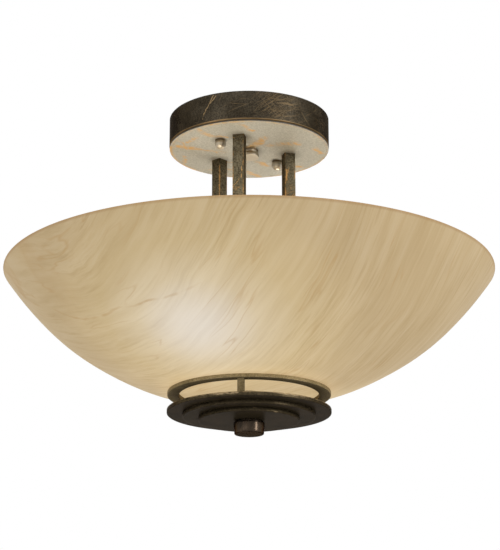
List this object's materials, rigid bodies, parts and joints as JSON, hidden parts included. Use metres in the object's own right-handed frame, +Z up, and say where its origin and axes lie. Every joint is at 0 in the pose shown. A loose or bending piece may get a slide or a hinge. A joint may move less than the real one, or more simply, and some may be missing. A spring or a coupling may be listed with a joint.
{
  "type": "semi flush ceiling light",
  "caption": "Semi flush ceiling light: round canopy, square support rods, wide amber glass bowl with lamps inside, and a stepped disc trim clamped by a finial.",
  "frame": {"origin": "middle of the ceiling plane, at the centre of the crossbar's two box slots and level with the canopy's top edge", "axes": "+Z up, square to the ceiling; X along the crossbar and the two ball nuts; Y across it, towards the first support rod"},
  "size_m": [0.405, 0.405, 0.2717],
  "materials": {
    "canopy_bronze": "aged bronze paint, rubbed through to copper colour in fine scratches",
    "rod_bronze": "aged bronze paint, worn on the corners",
    "trim_bronze": "dark aged bronze, slightly worn edges",
    "pale_bronze": "satin, pale bronze",
    "plated_steel": "zinc plated",
    "green_screw": "green",
    "gasket_rubber": "matt",
    "pad_felt": "felt",
    "porcelain": "glazed",
    "shell_brass": "rolled",
    "black_insulation": "smooth insulation",
    "white_insulation": "smooth insulation",
    "splice_plastic": "moulded",
    "lamp_cap_metal": "rolled thread",
    "frosted_glass": "frosted",
    "amber_glass": "satin, cream and amber marbling"
  },
  "bodies": {
    "root": {"crossbar": "plated_steel", "ground_screw": "green_screw", "mounting_studs": "plated_steel", "stud_nuts": "plated_steel", "ball_nuts": "pale_bronze", "canopy_band": "canopy_bronze", "canopy_plate": "canopy_bronze", "center_cap": "pale_bronze", "center_nipple": "plated_steel", "nipple_nut": "plated_steel", "support_rod_1": "rod_bronze", "support_rod_2": "rod_bronze", "support_rod_3": "rod_bronze", "hub_plate": "rod_bronze", "center_tube": "plated_steel", "tube_nuts": "plated_steel", "seat_gasket": "gasket_rubber", "seat_washer": "plated_steel", "seat_nut": "plated_steel", "lamp_bracket_1": "plated_steel", "lamp_bracket_2": "plated_steel", "lampholder_1": "porcelain", "lampholder_2": "porcelain", "screw_shell_1": "shell_brass", "screw_shell_2": "shell_brass", "center_contact_1": "shell_brass", "center_contact_2": "shell_brass", "bracket_screws": "plated_steel", "hot_leads": "black_insulation", "neutral_leads": "white_insulation", "splices": "splice_plastic"},
    "lamp_1": {"lamp_cap_1": "lamp_cap_metal", "lamp_glass_1": "frosted_glass"},
    "lamp_2": {"lamp_cap_2": "lamp_cap_metal", "lamp_glass_2": "frosted_glass"},
    "bowl": {"glass_bowl": "amber_glass"},
    "trim": {"ring_pad": "pad_felt", "trim_ring": "trim_bronze", "ring_posts": "trim_bronze", "trim_disc_1": "trim_bronze", "trim_disc_2": "trim_bronze", "trim_disc_3": "trim_bronze"},
    "washer": {"finial_washer": "trim_bronze"},
    "finial": {"finial": "trim_bronze"}
  },
  "joints": [
    {"name": "bowl_removal", "type": "slide", "parent": "root", "child": "bowl", "axis": [0, 0, -1], "range_m": [0, 0.14]},
    {"name": "trim_removal", "type": "slide", "parent": "bowl", "child": "trim", "axis": [0, 0, -1], "range_m": [0, 0.03]},
    {"name": "finial_travel", "type": "slide", "parent": "trim", "child": "washer", "axis": [0, 0, -1], "range_m": [0, 0.0076]},
    {"name": "finial_turn", "type": "hinge", "parent": "washer", "child": "finial", "pos_m": [0, 0, -0.267], "axis": [0, 0, -1], "range_deg": [0, 2880]},
    {"name": "lamp_1_unscrew", "type": "slide", "parent": "root", "child": "lamp_1", "axis": [0.9659, 0.2588, 0], "range_m": [0, 0.024]},
    {"name": "lamp_2_unscrew", "type": "slide", "parent": "root", "child": "lamp_2", "axis": [-0.9659, -0.2588, 0], "range_m": [0, 0.024]}
  ],
  "couplings": [
    {"joint": "finial_travel", "follows": "finial_turn", "m_per_rad": 0.00014973}
  ]
}
